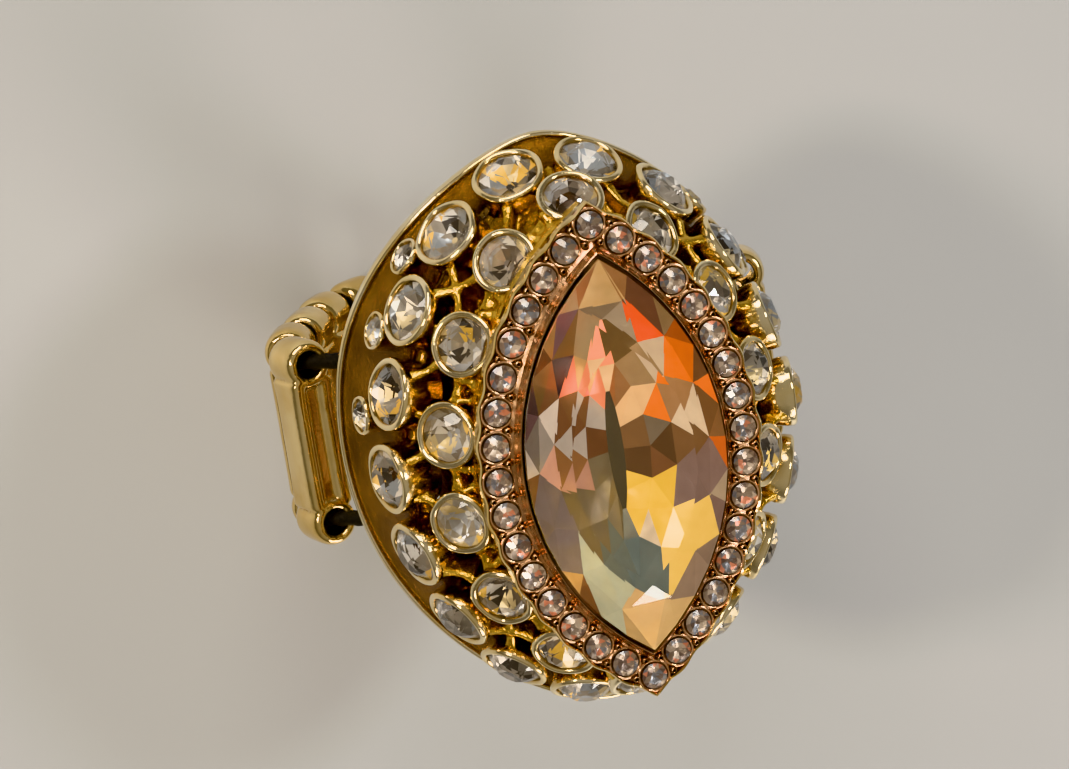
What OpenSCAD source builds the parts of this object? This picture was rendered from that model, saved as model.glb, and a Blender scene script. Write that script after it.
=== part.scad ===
// Stretch cocktail ring: an openwork dome with a raised marquise stone, on an elastic band of links.
// Frame: origin at the centre of the finger hole, +Y along the finger, +Z out through the head.

/* [Fit] */
// Inner diameter of the ring, the finger it fits at rest
finger_d = 17.3; // [17:0.1:17.8]
// Room between the finger and the two tips of the dome
tip_clearance = 0.35; // [0.3:0.05:0.5]

/* [Centre stone and halo] */
// Length of the centre stone, tip to tip
stone_l = 18; // [17.6:0.1:18.2]
// Width of the centre stone
stone_w = 9.2; // [8.8:0.1:9.3]
// Height of the halo's top face above the tips of the dome
halo_rise = 8.1; // [7.9:0.1:8.5]
// Number of small stones in the halo
halo_count = 32; // [28:2:32]
// Diameter of a halo stone
halo_stone_d = 1.2; // [1:0.05:1.3]

/* [Dome] */
// Length of the rim, tip to tip
rim_l = 27.8; // [27.6:0.1:28.4]
// Width of the rim
rim_w = 21; // [20.8:0.1:21.2]
// Thickness of the dome's wall
wall_t = 0.7; // [0.6:0.05:0.8]
// Number of stones in the middle row
middle_count = 14; // [12:2:14]
// Diameter of a middle row stone
middle_stone_d = 2.4; // [2.1:0.1:2.5]
// Number of stones in the outer row
outer_count = 18; // [14:2:18]
// Diameter of an outer row stone
outer_stone_d = 2.7; // [2.3:0.1:2.8]
// Diameter of a shoulder stone
shoulder_stone_d = 1.5; // [1.4:0.1:1.6]
// Width of a bezel's wall round its stone
bezel_t = 0.36; // [0.3:0.02:0.38]

/* [Band] */
// Number of links
link_count = 13; // [11:2:13]
// Distance between the two cords
cord_gap = 7.84; // [7.4:0.02:8]
// Diameter of the elastic cord
cord_d = 0.8; // [0.7:0.05:0.9]
// Outer diameter of a link's tube
tube_d = 2.4; // [2.3:0.05:2.4]
// Length of a link's tube, along the cord
tube_l = 2.4; // [2.2:0.1:2.4]
// Bore of a link's tube
bore_d = 1.3; // [1.25:0.05:1.4]

/* [Hidden] */
finger_r = finger_d / 2;
slack = 0.03;
rim_tip_z = finger_r + tip_clearance;
halo_z = rim_tip_z + halo_rise;

// The rim is a narrow band. Its lower edge drops from the tips to the sides by this much per
// square millimetre of x, and its crest starts higher and drops with the power 2.5 of x
rim_sag = 0.034;
crest_rise = 1.2;
crest_sag = 0.012;
crest_power = 2.5;

// Vesica outlines are two arcs: radius and centre offset follow from half length and half width
halo_l = 10.44;
halo_w = 5.72;
halo_r = vesica_r(halo_l, halo_w);
halo_off = halo_r - halo_w;
halo_in = 0.75;
halo_out = 0.8;
halo_tip = 11.2;
halo_plate_t = 1.1;
cup_wall = 0.7;
cup_floor_z = halo_z - 4.6;
cup_floor_t = 0.5;
girdle_z = halo_z + 0.5;
stone_r = vesica_r(stone_l / 2, stone_w / 2);
stone_off = stone_r - stone_w / 2;

// Rows of bezels: [half length, half width, power, root] of the outline that their centres follow
middle_row = [11.3, 7.4, 2, 0.74];
middle_z = halo_z - 2.1;
middle_drop = 0.35;
middle_tilt = 42;
outer_row = [12.5, 9.6, 1.7, 0.5];
outer_z = halo_z - 4.5;
outer_drop = 1;
rim_row = [rim_l / 2, rim_w / 2, 2.36, 0.667];
bezel_h = 1.55;
bezel_lip = 0.12;
// Bezels are many, so each cup is a prism of this many sides
cup_sides = 14;
strut_d = 0.68;
// The wall's top edge, outside and below the centres of the outer row
wall_lean = 0.35;
wall_drop = 0.38;

// The shoulder stones sit low on the wall, on the +Y half of each side
shoulder_places = [[2.5, halo_z - 6.9], [6.25, halo_z - 6.7], [9.3, halo_z - 6.7]];

// Band path: a circle round the finger that swells out to the links beside the head
band_r = finger_r + tube_d / 2 + 0.05;
swell = 1.8;
swell_start = 30;
swell_peak = 74;
swell_end = 111;
lug_angle = 50;
lug_l = 2.2;
// A link's bar runs from just under the tube's crown to past the finger, which then cuts it to fit
bar_outer = tube_d / 2 - 0.1;
bar_inner = tube_d / 2 + 0.3;
bar_w = 2.2;
cord_sides = 8;
cord_rings = 72;

function pad2(i) = str(i < 10 ? "0" : "", i);
MIDDLE = [for (i = [1 : middle_count]) str("middle_stone_", pad2(i))];
OUTER = [for (i = [1 : outer_count]) str("outer_stone_", pad2(i))];
LINKS = [for (i = [1 : link_count]) str("band_link_", pad2(i))];

// ---- outlines ----

function vesica_r(l, w) = (l * l + w * w) / (2 * w);

// Half width of a pointed outline at height y; row is [half length, half width, power, root]
function row_x(row, y) = row[1] * pow(max(0, 1 - pow(abs(y) / row[0], row[2])), row[3]);

// Point on the outline: a runs from 0 at the +Y tip, over +X at 90, to 360
function row_point(row, a) = let (y = row[0] * cos(a)) [sign(sin(a)) * row_x(row, y), y];

function cumulative(steps, i = 0, total = 0) =
    i > len(steps) ? [] : concat([total], cumulative(steps, i + 1, total + (i < len(steps) ? steps[i] : 0)));

// The angle a at each of n even steps of length along the outline, the first at share of a step
function even_angles(row, n, share) =
    let (grid = [for (a = [0 : 2 : 360]) row_point(row, a)],
         steps = [for (i = [0 : len(grid) - 2]) norm(grid[i + 1] - grid[i])],
         run = cumulative(steps),
         table = [for (i = [0 : len(run) - 1]) [run[i], 2 * i]])
    [for (i = [0 : n - 1]) lookup((i + share) * run[len(run) - 1] / n, table)];

// Outward direction in plan at angle a
function row_normal(row, a) =
    let (d = row_point(row, a + 1.5) - row_point(row, a - 1.5), l = norm(d))
    [-d[1] / l, d[0] / l];

function tilted(n, tilt) = [n[0] * sin(tilt), n[1] * sin(tilt), cos(tilt)];

function rim_z(x) = rim_tip_z - rim_sag * x * x;
function crest_z(x) = rim_tip_z + crest_rise - crest_sag * pow(abs(x), crest_power);
function middle_seat_z(y) = middle_z - middle_drop * pow(y / middle_row[0], 2);
function outer_seat_z(y) = outer_z - outer_drop * pow(y / outer_row[0], 2);

// Seats are [centre of the stone's girdle, direction it faces]
MIDDLE_SEATS = [for (a = even_angles(middle_row, middle_count, 0))
    let (p = row_point(middle_row, a), n = row_normal(middle_row, a), tip = pow(abs(n[1]), 6))
    [[p[0], p[1], middle_seat_z(p[1])], tilted(n, middle_tilt + 8 * tip)]];
OUTER_SEATS = [for (a = even_angles(outer_row, outer_count, 0.5))
    let (p = row_point(outer_row, a), n = row_normal(outer_row, a))
    [[p[0], p[1], outer_seat_z(p[1])], tilted(n, 58 + 16 * n[0] * n[0])]];
SHOULDER_SEATS = [for (side = [-1, 1], place = shoulder_places)
    let (y = place[0], a = atan2(row_x(rim_row, y + 1) - row_x(rim_row, y - 1), 2))
    [[side * wall_x(y, place[1]), y, place[1]], tilted([side * cos(a), -sin(a)], 80)]];
HALO_POINTS = concat(
    [for (i = [0 : halo_count / 2 - 1]) halo_point(1, i)],
    [for (i = [0 : halo_count / 2 - 1]) -halo_point(1, i)]);

// Even steps along one arc of the halo, from the +Y tip down the side
function halo_point(side, i) =
    let (reach = asin(halo_l / halo_r), a = reach - 2 * reach * i / (halo_count / 2))
    side * [halo_r * cos(a) - halo_off, halo_r * sin(a)];

// Outer face of the wall in plan, at height z, where it stands between the rim and the outer row
function wall_x(y, z) =
    let (low = row_x(rim_row, y), high = row_x(outer_row, y) + wall_lean,
         share = (z - crest_z(low)) / (outer_seat_z(y) - wall_drop - crest_z(low)))
    low + (high - low) * share;

// ---- band path in the XZ plane, angle from +Z ----

function smooth(u) = let (v = min(1, max(0, u))) v * v * (3 - 2 * v);

function path_r(a) =
    let (b = abs(a))
    band_r + swell * (b < swell_peak ? smooth((b - swell_start) / (swell_peak - swell_start))
                                     : 1 - smooth((b - swell_peak) / (swell_end - swell_peak)));

function path_point(a) = [path_r(a) * sin(a), path_r(a) * cos(a)];

function path_heading(a) =
    let (d = path_point(a + 0.5) - path_point(a - 0.5)) atan2(d[0], d[1]);

function link_angles() =
    let (grid = [for (a = [swell_peak : 1 : 360 - swell_peak]) path_point(a > 180 ? a - 360 : a)],
         steps = [for (i = [0 : len(grid) - 2]) norm(grid[i + 1] - grid[i])],
         run = cumulative(steps),
         table = [for (i = [0 : len(run) - 1]) [run[i], swell_peak + i]])
    [for (i = [0 : link_count - 1]) lookup(i * run[len(run) - 1] / (link_count - 1), table)];

LINK_ANGLES = link_angles();

// ---- helpers ----

// Moves a shape to p and turns its +Z to direction n
module facing(p, n) {
    translate(p) rotate([0, acos(n[2]), atan2(n[1], n[0])]) children();
}

module vesica(r, off, grow = 0) {
    intersection() {
        translate([off, 0]) circle(r + grow, $fn = 96);
        translate([-off, 0]) circle(r + grow, $fn = 96);
    }
}

module halo_outline(grow) {
    intersection() {
        vesica(halo_r, halo_off, grow);
        square([30, 2 * min(halo_tip, halo_tip - halo_out + grow)], center = true);
    }
}

module strut(p, q) {
    hull() {
        translate(p) sphere(d = strut_d, $fn = 6);
        translate(q) sphere(d = strut_d, $fn = 6);
    }
}

// Round cut stone, girdle on z = 0: a flat table above and a blunt cone below
module round_stone(d) {
    translate([0, 0, 0.05]) cylinder(h = 0.16 * d, d1 = d, d2 = 0.6 * d, $fn = 48);
    translate([0, 0, -0.05]) cylinder(h = 0.1, d = d, $fn = 48);
    translate([0, 0, -0.05 - 0.36 * d]) cylinder(h = 0.36 * d, d1 = 0.2 * d, d2 = d, $fn = 48);
}

// The metal cup round a stone's seat, before its pocket is cut
module bezel_cup(d) {
    translate([0, 0, bezel_lip - bezel_h]) cylinder(h = bezel_h, d1 = d, d2 = d + 2 * bezel_t, $fn = cup_sides);
}

module stone_pocket(d) {
    // Widened so that the flats of the prism clear the round stone
    open_d = (d + 2 * slack) / cos(180 / cup_sides);
    translate([0, 0, -0.42 * d]) cylinder(h = 3, d = open_d, $fn = cup_sides);
}

// ---- head ----

// One ring of the wall's corners, from its level (0 lower edge, 1 crest, 2 top) and its inset
function wall_ring(level, inset) = [for (a = [0 : 5 : 355])
    let (rim = row_point(rim_row, a), row = row_point(outer_row, a),
         plan = level < 2 ? rim : row + wall_lean * row_normal(outer_row, a),
         p = plan - inset * row_normal(rim_row, a))
    [p[0], p[1], level == 0 ? rim_z(rim[0]) : level == 1 ? crest_z(rim[0]) : outer_seat_z(row[1]) - wall_drop]];

// The rim's narrow band, and the steep wall from its crest up to the outer row of bezels
module dome_wall() {
    rings = [wall_ring(0, 0), wall_ring(1, 0), wall_ring(2, 0),
        wall_ring(2, wall_t + 0.5), wall_ring(1, wall_t), wall_ring(0, wall_t)];
    n = len(rings[0]);
    polyhedron(points = [for (r = rings, p = r) p],
        faces = [for (k = [0 : len(rings) - 1], i = [0 : n - 1])
            let (j = (i + 1) % n, m = (k + 1) % len(rings))
            [k * n + i, k * n + j, m * n + j, m * n + i]]);
}

// The collar that the halo setting's cup drops into
module collar() {
    translate([0, 0, cup_floor_z + 0.3]) linear_extrude(1.4) difference() {
        vesica(halo_r, halo_off, 0.55);
        vesica(halo_r, halo_off, slack);
    }
}

function toward_axis(p, share) = [p[0] * share, p[1] * share, cup_floor_z + 1];

module bridges() {
    for (i = [0 : middle_count - 1]) {
        seat = MIDDLE_SEATS[i];
        base = seat[0] - 0.9 * seat[1];
        strut(base, toward_axis(base, 0.88));
    }
    for (i = [0 : outer_count - 1]) {
        seat = OUTER_SEATS[i];
        near = nearest_two(seat[0]);
        for (k = near) strut(seat[0] - 0.8 * seat[1], MIDDLE_SEATS[k][0] - 0.8 * MIDDLE_SEATS[k][1]);
    }
}

// The two middle seats closest to a point
function nearest_two(p) =
    let (d = [for (s = MIDDLE_SEATS) norm(s[0] - p)], first = min(d),
         second = min([for (x = d) if (x > first + 0.001) x]))
    [for (i = [0 : len(d) - 1]) if (d[i] <= second + 0.001) i];

// The eyelet on the inside of the wall that each cord enters
module lug(side, y) {
    p = path_point(side * lug_angle);
    h = path_heading(side * lug_angle);
    translate([p[0], y, p[1]]) rotate([0, h, 0]) cylinder(h = lug_l, d = tube_d - 0.1, center = true, $fn = 16);
    hull() {
        translate([p[0] + side * 0.5, y, p[1] + 0.4]) cube([0.6, 1.4, 1.4], center = true);
        translate([side * (wall_x(y, 8.2) - 0.5), y, 8.2]) cube([0.5, 1.4, 1.6], center = true);
    }
}

module cord_hole(side, y) {
    p = path_point(side * lug_angle);
    h = path_heading(side * lug_angle);
    translate([p[0], y, p[1]]) rotate([0, h, 0]) cylinder(h = 8, d = bore_d + 0.1, center = true, $fn = 16);
}

module head_frame() {
    color("goldenrod") difference() {
        union() {
            dome_wall();
            collar();
            bridges();
            for (s = MIDDLE_SEATS) facing(s[0], s[1]) bezel_cup(middle_stone_d);
            for (s = OUTER_SEATS) facing(s[0], s[1]) bezel_cup(outer_stone_d);
            for (s = SHOULDER_SEATS) facing(s[0], s[1]) bezel_cup(shoulder_stone_d);
            for (side = [-1, 1], y = [-1, 1]) lug(side, y * cord_gap / 2);
        }
        for (s = MIDDLE_SEATS) facing(s[0], s[1]) stone_pocket(middle_stone_d);
        for (s = OUTER_SEATS) facing(s[0], s[1]) stone_pocket(outer_stone_d);
        for (s = SHOULDER_SEATS) facing(s[0], s[1]) stone_pocket(shoulder_stone_d);
        for (side = [-1, 1], y = [-1, 1]) cord_hole(side, y * cord_gap / 2);
        // Room for the halo setting: its plate above and its cup below
        translate([0, 0, halo_z - halo_plate_t - slack]) linear_extrude(9) halo_outline(halo_out + slack);
        translate([0, 0, cup_floor_z - slack]) linear_extrude(9) vesica(halo_r, halo_off, slack);
        // Room for the finger
        rotate([90, 0, 0]) cylinder(r = finger_r + 0.05, h = 40, center = true, $fn = 96);
    }
}

// Marquise tray: a plate drilled for the halo stones over a closed cup for the centre stone
module halo_setting() {
    color("lightsalmon") difference() {
        union() {
            translate([0, 0, halo_z - halo_plate_t]) linear_extrude(halo_plate_t) halo_outline(halo_out);
            translate([0, 0, cup_floor_z]) linear_extrude(halo_z - cup_floor_z) vesica(halo_r, halo_off, 0);
        }
        translate([0, 0, cup_floor_z + cup_floor_t]) linear_extrude(9) vesica(halo_r, halo_off, -halo_in);
        for (p = HALO_POINTS) translate([p[0], p[1], halo_z - 0.62])
            cylinder(h = 2, d = halo_stone_d + 2 * slack, $fn = 32);
    }
}

// Marquise cut: pavilion down to a short keel, girdle band, crown up to the table
module center_stone() {
    color("peachpuff") {
        hull() {
            translate([0, 0, girdle_z - 3.2]) cube([0.4, 7, 0.1], center = true);
            translate([0, 0, girdle_z - 0.3]) linear_extrude(0.3) vesica(stone_r, stone_off);
        }
        hull() {
            translate([0, 0, girdle_z]) linear_extrude(0.05) vesica(stone_r, stone_off);
            translate([0, 0, girdle_z + 1.2]) linear_extrude(0.05) vesica(stone_r, stone_off, -1.9);
        }
    }
}

module halo_stones() {
    color("lavender") for (p = HALO_POINTS) translate([p[0], p[1], halo_z - 0.02])
        round_stone(halo_stone_d);
}

module shoulder_stones() {
    color("white") for (s = SHOULDER_SEATS) facing(s[0], s[1]) round_stone(shoulder_stone_d);
}

module middle_stone(i) {
    color("white") facing(MIDDLE_SEATS[i][0], MIDDLE_SEATS[i][1]) round_stone(middle_stone_d);
}

module outer_stone(i) {
    color("azure") facing(OUTER_SEATS[i][0], OUTER_SEATS[i][1]) round_stone(outer_stone_d);
}

// ---- band ----

// A bar along the finger with a tube eyelet at each end; its inner face is cut to the finger
module band_link(i) {
    a = LINK_ANGLES[i] > 180 ? LINK_ANGLES[i] - 360 : LINK_ANGLES[i];
    p = path_point(a);
    h = path_heading(a);
    color("gold") difference() {
        translate([p[0], 0, p[1]]) rotate([0, h, 0]) {
            for (y = [-1, 1]) translate([0, y * cord_gap / 2, 0])
                cylinder(h = tube_l, d = tube_d, center = true, $fn = 48);
            translate([-bar_outer, -cord_gap / 2, -bar_w / 2]) cube([bar_outer + bar_inner, cord_gap, bar_w]);
        }
        for (y = [-1, 1]) translate([p[0], y * cord_gap / 2, p[1]]) rotate([0, h, 0])
            cylinder(h = 2 * tube_l, d = bore_d, center = true, $fn = 48);
        rotate([90, 0, 0]) cylinder(r = finger_r, h = 40, center = true, $fn = 96);
    }
}

// Closed loop of elastic cord, swept along the band path
module cord(y) {
    points = [for (i = [0 : cord_rings - 1])
        let (a = i * 360 / cord_rings, b = a > 180 ? a - 360 : a,
             c = path_point(b), h = path_heading(b == 180 ? 179.4 : b))
        for (k = [0 : cord_sides - 1])
            let (t = k * 360 / cord_sides)
            [c[0] + cord_d / 2 * cos(t) * cos(h), y + cord_d / 2 * sin(t), c[1] - cord_d / 2 * cos(t) * sin(h)]];
    color("dimgray") polyhedron(points = points,
        faces = [for (i = [0 : cord_rings - 1], k = [0 : cord_sides - 1])
            let (j = (i + 1) % cord_rings, m = (k + 1) % cord_sides)
            [i * cord_sides + k, i * cord_sides + m, j * cord_sides + m, j * cord_sides + k]]);
}

head_frame();
halo_setting();
center_stone();
halo_stones();
shoulder_stones();
cord(cord_gap / 2);  // cord_upper
cord(-cord_gap / 2);  // cord_lower
for (i = [0 : middle_count - 1]) middle_stone(i);
for (i = [0 : outer_count - 1]) outer_stone(i);
for (i = [0 : link_count - 1]) band_link(i);
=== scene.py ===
import math
import random

import bmesh
import bpy
import numpy as np
from mathutils import Matrix, Vector


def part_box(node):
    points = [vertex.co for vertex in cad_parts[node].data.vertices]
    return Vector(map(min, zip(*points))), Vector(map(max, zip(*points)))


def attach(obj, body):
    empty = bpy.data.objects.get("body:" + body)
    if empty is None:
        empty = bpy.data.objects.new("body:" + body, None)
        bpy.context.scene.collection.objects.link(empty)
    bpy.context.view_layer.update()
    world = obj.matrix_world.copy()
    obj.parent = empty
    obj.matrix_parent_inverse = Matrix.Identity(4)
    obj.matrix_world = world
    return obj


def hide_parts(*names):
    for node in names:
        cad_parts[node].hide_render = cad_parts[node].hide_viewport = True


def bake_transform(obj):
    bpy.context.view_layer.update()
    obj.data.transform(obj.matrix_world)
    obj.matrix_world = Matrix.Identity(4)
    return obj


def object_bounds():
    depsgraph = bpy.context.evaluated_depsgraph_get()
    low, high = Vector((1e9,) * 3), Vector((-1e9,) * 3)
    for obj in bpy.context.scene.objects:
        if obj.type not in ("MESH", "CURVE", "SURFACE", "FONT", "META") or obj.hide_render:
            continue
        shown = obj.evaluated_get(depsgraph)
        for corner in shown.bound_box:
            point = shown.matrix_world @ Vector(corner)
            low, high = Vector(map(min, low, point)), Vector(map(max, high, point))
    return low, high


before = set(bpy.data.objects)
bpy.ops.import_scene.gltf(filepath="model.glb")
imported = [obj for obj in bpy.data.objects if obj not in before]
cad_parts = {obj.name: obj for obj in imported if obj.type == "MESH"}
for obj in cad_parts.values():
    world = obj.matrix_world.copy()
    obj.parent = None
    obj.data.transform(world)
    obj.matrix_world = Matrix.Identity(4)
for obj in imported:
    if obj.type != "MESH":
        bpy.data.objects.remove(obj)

# Lengths in this script are millimetres; make_piece() turns them into the frame's metres.
MM = 0.001
# Out of the top of the ring, and along the finger
UP = np.array([0.0, 0.0, 1.0])
FINGER = np.array([0.0, 1.0, 0.0])
cad_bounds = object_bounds()


def unit(vector):
    """The same direction with length 1."""
    return vector / np.linalg.norm(vector)


def turns(count):
    """Equal steps of angle round a full turn."""
    return np.arange(count) * 2 * math.pi / count


# ---------------------------------------------------------------- reading the frame

def box_mm(node):
    """Lowest and highest corner of a CAD node, in millimetres."""
    low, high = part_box(node)
    return np.array(low) / MM, np.array(high) / MM


def solids_of(node):
    """The separate solids of a CAD node, each as an array of its own corner points in millimetres."""
    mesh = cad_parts[node].data
    points = np.array([v.co for v in mesh.vertices]) / MM
    keys = {}
    same = [keys.setdefault(tuple(np.round(p, 3)), len(keys)) for p in points]
    unique = np.array(list(keys))
    parent = list(range(len(unique)))

    def root(i):
        while parent[i] != i:
            parent[i] = parent[parent[i]]
            i = parent[i]
        return i

    for face in mesh.polygons:
        first = root(same[face.vertices[0]])
        for v in face.vertices[1:]:
            parent[root(same[v])] = first
    groups = {}
    for i in range(len(unique)):
        groups.setdefault(root(i), []).append(i)
    return [unique[g] for g in groups.values()]


class Seat:
    """Where a round stone sits: the centre of its girdle, the way it faces, and its radius."""

    def __init__(self, points):
        middle = points.mean(axis=0)
        # A stone is flattest along the way it faces, and eigh puts that axis first
        _, axes = np.linalg.eigh(np.cov((points - middle).T))
        self.normal = axes[:, 0]
        outward = middle - np.array([0, 0, dome_centre_z])
        if self.normal @ outward < 0:
            self.normal = -self.normal
        height = (points - middle) @ self.normal
        reach = np.linalg.norm(points - middle - height[:, None] * self.normal, axis=1)
        self.radius = reach.max()
        on_girdle = reach > 0.98 * self.radius
        self.centre = middle + self.normal * height[on_girdle].mean()
        side = np.cross(UP, self.normal)
        faces_up = np.linalg.norm(side) < 0.1
        self.side = np.array([1.0, 0.0, 0.0]) if faces_up else unit(side)
        self.rise = np.cross(self.normal, self.side)

    def place(self, local, turn=0.0):
        """Local points, with z along the way the stone faces, moved to the seat."""
        x = local[:, 0] * math.cos(turn) - local[:, 1] * math.sin(turn)
        y = local[:, 0] * math.sin(turn) + local[:, 1] * math.cos(turn)
        flat = np.outer(x, self.side) + np.outer(y, self.rise)
        return self.centre + flat + np.outer(local[:, 2], self.normal)


# ---------------------------------------------------------------- mesh making

def circle_round(axis, side, sides):
    """Points of a circle of radius 1 round an axis, starting at the direction called side."""
    turn = turns(sides)
    return np.outer(np.cos(turn), side) + np.outer(np.sin(turn), np.cross(axis, side))


def quads(rings, joined):
    """Faces between each ring of points and the next, and from the last to the first if they are joined."""
    count = len(rings[0])
    faces = []
    for r in range(len(rings) if joined else len(rings) - 1):
        q = (r + 1) % len(rings)
        for k in range(count):
            j = (k + 1) % count
            faces.append((r * count + k, r * count + j, q * count + j, q * count + k))
    return faces


class Mesh:
    """Points and faces gathered from several shapes. Each face has a material number and a tint."""

    def __init__(self):
        self.points = []
        self.faces = []
        self.kinds = []
        self.tints = []

    def add(self, points, faces, kind=0, tints=None):
        """Adds a shape; kind is one material number, or a list with one for each face."""
        start = len(self.points)
        self.points.extend([tuple(p) for p in points])
        for i, face in enumerate(faces):
            self.faces.append(tuple(start + v for v in face))
            self.kinds.append(kind[i] if isinstance(kind, list) else kind)
            self.tints.append(tints[i] if tints is not None else (1.0, 1.0, 1.0, 1.0))

    def grid(self, rings, kind=0, caps=False):
        """A tube through equal rings of points, with caps over its two ends if they are asked for."""
        count = len(rings[0])
        faces = quads(rings, False)
        if caps:
            faces.append(tuple(reversed(range(count))))
            faces.append(tuple((len(rings) - 1) * count + k for k in range(count)))
        self.add(np.concatenate(rings), faces, kind)

    def loop(self, rings, kind=0):
        """Like grid, and the last ring joins the first, so a profile goes all the way round a path."""
        self.add(np.concatenate(rings), quads(rings, True), kind)

    def ball(self, centre, radius, kind=0, sides=10, rows=6):
        """A small round bead with a flat top and bottom."""
        side = unit(np.cross(UP, [0.3, 0.9, 0.2]))
        circle = circle_round(UP, side, sides)
        rings = []
        for r in range(1, rows):
            tilt = math.pi * r / rows
            rings.append(centre + radius * math.sin(tilt) * circle + radius * math.cos(tilt) * UP)
        self.grid(rings, kind, caps=True)

    def rod(self, start, end, radius, end_radius=None, sides=10):
        """A straight rod with flat ends, as wide as radius at its start and end_radius at its end."""
        end_radius = radius if end_radius is None else end_radius
        along = unit(end - start)
        side = unit(np.cross(along, [0.31, 0.17, 0.93]))
        circle = circle_round(along, side, sides)
        self.grid([start + radius * circle, end + end_radius * circle], caps=True)

    def lathe(self, seat, profile, sides=48, kind=0, wobble=None):
        """A closed profile of (radius, height) pairs turned round a seat's axis."""
        turn = turns(sides)
        swell = np.ones(sides) if wobble is None else wobble(turn)
        rings = []
        for radius, height in profile:
            x = radius * swell * np.cos(turn)
            y = radius * swell * np.sin(turn)
            rings.append(seat.place(np.stack([x, y, np.full(sides, height)], 1)))
        self.loop(rings, kind)


def make_piece(name, mesh, materials, body, smooth=True, replaces=()):
    """Turns gathered points and faces into a Blender object. It rides on a CAD body, unless body is None."""
    data = bpy.data.meshes.new(name)
    data.from_pydata([tuple(np.array(p) * MM) for p in mesh.points], [], mesh.faces)
    for material in materials:
        data.materials.append(material)
    data.polygons.foreach_set("material_index", mesh.kinds)
    data.polygons.foreach_set("use_smooth", [smooth] * len(mesh.faces))
    tint = data.attributes.new("tint", "FLOAT_COLOR", "CORNER")
    colours = [mesh.tints[face.index] for face in data.polygons for _ in face.loop_indices]
    tint.data.foreach_set("color", np.array(colours, np.float32).ravel())
    work = bmesh.new()
    work.from_mesh(data)
    bmesh.ops.recalc_face_normals(work, faces=work.faces)
    work.to_mesh(data)
    work.free()
    piece = bpy.data.objects.new(name, data)
    bpy.context.scene.collection.objects.link(piece)
    if body:
        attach(piece, body)
    if replaces:
        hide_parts(*replaces)
    return piece


def apply_modifiers(piece):
    """Bakes a piece's modifiers into its own mesh."""
    graph = bpy.context.evaluated_depsgraph_get()
    final = bpy.data.meshes.new_from_object(piece.evaluated_get(graph), depsgraph=graph)
    old = piece.data
    piece.modifiers.clear()
    piece.data = final
    final.name = piece.name
    bpy.data.meshes.remove(old)


# ---------------------------------------------------------------- sizes from the frame

head_low, head_high = box_mm("head_frame")
stone_low, stone_high = box_mm("center_stone")
halo_z = box_mm("halo_setting")[1][2]
rim_tip_z = halo_z - 8.1
dome_centre_z = halo_z - 9

link_names = sorted(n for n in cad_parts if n.startswith("band_link"))
middle_names = sorted(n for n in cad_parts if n.startswith("middle_stone"))
outer_names = sorted(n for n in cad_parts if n.startswith("outer_stone"))

middle_seats = [Seat(solids_of(n)[0]) for n in middle_names]
outer_seats = [Seat(solids_of(n)[0]) for n in outer_names]
shoulder_seats = [Seat(s) for s in solids_of("shoulder_stones")]
halo_seats = [Seat(s) for s in solids_of("halo_stones")]

# Pointed outlines of the rim and of the outer row of stones: half length, half width, power, root
RIM_ROW = ((head_high[1] - head_low[1]) / 2, (head_high[0] - head_low[0]) / 2, 2.36, 0.667)
OUTER_ROW = (12.5, 9.6, 1.7, 0.5)
# The halo is a pointed oval along the centres of its stones: half length and half width
HALO_L = 10.44
HALO_W = 5.72
# The two cords run at CORD_Y and -CORD_Y, round a circle of radius CORD_LOOP_R about the middle of the finger
CORD_Y = 3.92
CORD_R = 0.4
CORD_LOOP_R = 9.9
# The head's eyelets are this many degrees from the top of that circle
LUG_DEGREES = 50


def rim_z(x):
    """Height of the rim's lower edge."""
    return rim_tip_z - 0.034 * x * x


def crest_z(x):
    """Height of the rim's crest."""
    return rim_tip_z + 1.2 - 0.012 * abs(x) ** 2.5


def outer_seat_z(y):
    """Height of the outer row of stones."""
    return halo_z - 4.5 - (y / OUTER_ROW[0]) ** 2


def row_point(row, angle):
    """Point on a pointed outline; the angle runs from 0 at the +Y tip, over +X at a quarter turn."""
    half_l, half_w, power, root = row
    y = half_l * math.cos(angle)
    x = half_w * max(0.0, 1 - (abs(y) / half_l) ** power) ** root
    return np.array([math.copysign(x, math.sin(angle)), y])


def row_normal(row, angle):
    """Outward direction in plan at an angle of a pointed outline."""
    step = 0.03
    along = unit(row_point(row, angle + step) - row_point(row, angle - step))
    return np.array([-along[1], along[0]])


def vesica_radius(length, width):
    """Radius of the two arcs of a pointed oval with this half length and half width."""
    return (length * length + width * width) / (2 * width)


def vesica_points(length, width, count, grow=0.0):
    """Points spaced evenly round a pointed oval from its +Y tip, over +X, pushed out by grow."""
    radius = vesica_radius(length, width)
    off = radius - width
    reach = math.acos(off / (radius + grow))
    half = count // 2
    angles = reach - 2 * reach * np.arange(half) / half
    side = np.column_stack([(radius + grow) * np.cos(angles) - off, (radius + grow) * np.sin(angles)])
    return np.concatenate([side, -side])


# ---------------------------------------------------------------- materials

def new_material(name):
    """A new material, its node tree and its main shader."""
    material = bpy.data.materials.new(name)
    material.use_nodes = True
    tree = material.node_tree
    return material, tree, tree.nodes["Principled BSDF"]


def mm_coordinates(tree):
    """Object coordinates in millimetres."""
    coordinate = tree.nodes.new("ShaderNodeTexCoord")
    scale = tree.nodes.new("ShaderNodeMapping")
    scale.inputs["Scale"].default_value = (1 / MM, 1 / MM, 1 / MM)
    tree.links.new(coordinate.outputs["Object"], scale.inputs["Vector"])
    return scale.outputs["Vector"]


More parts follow.
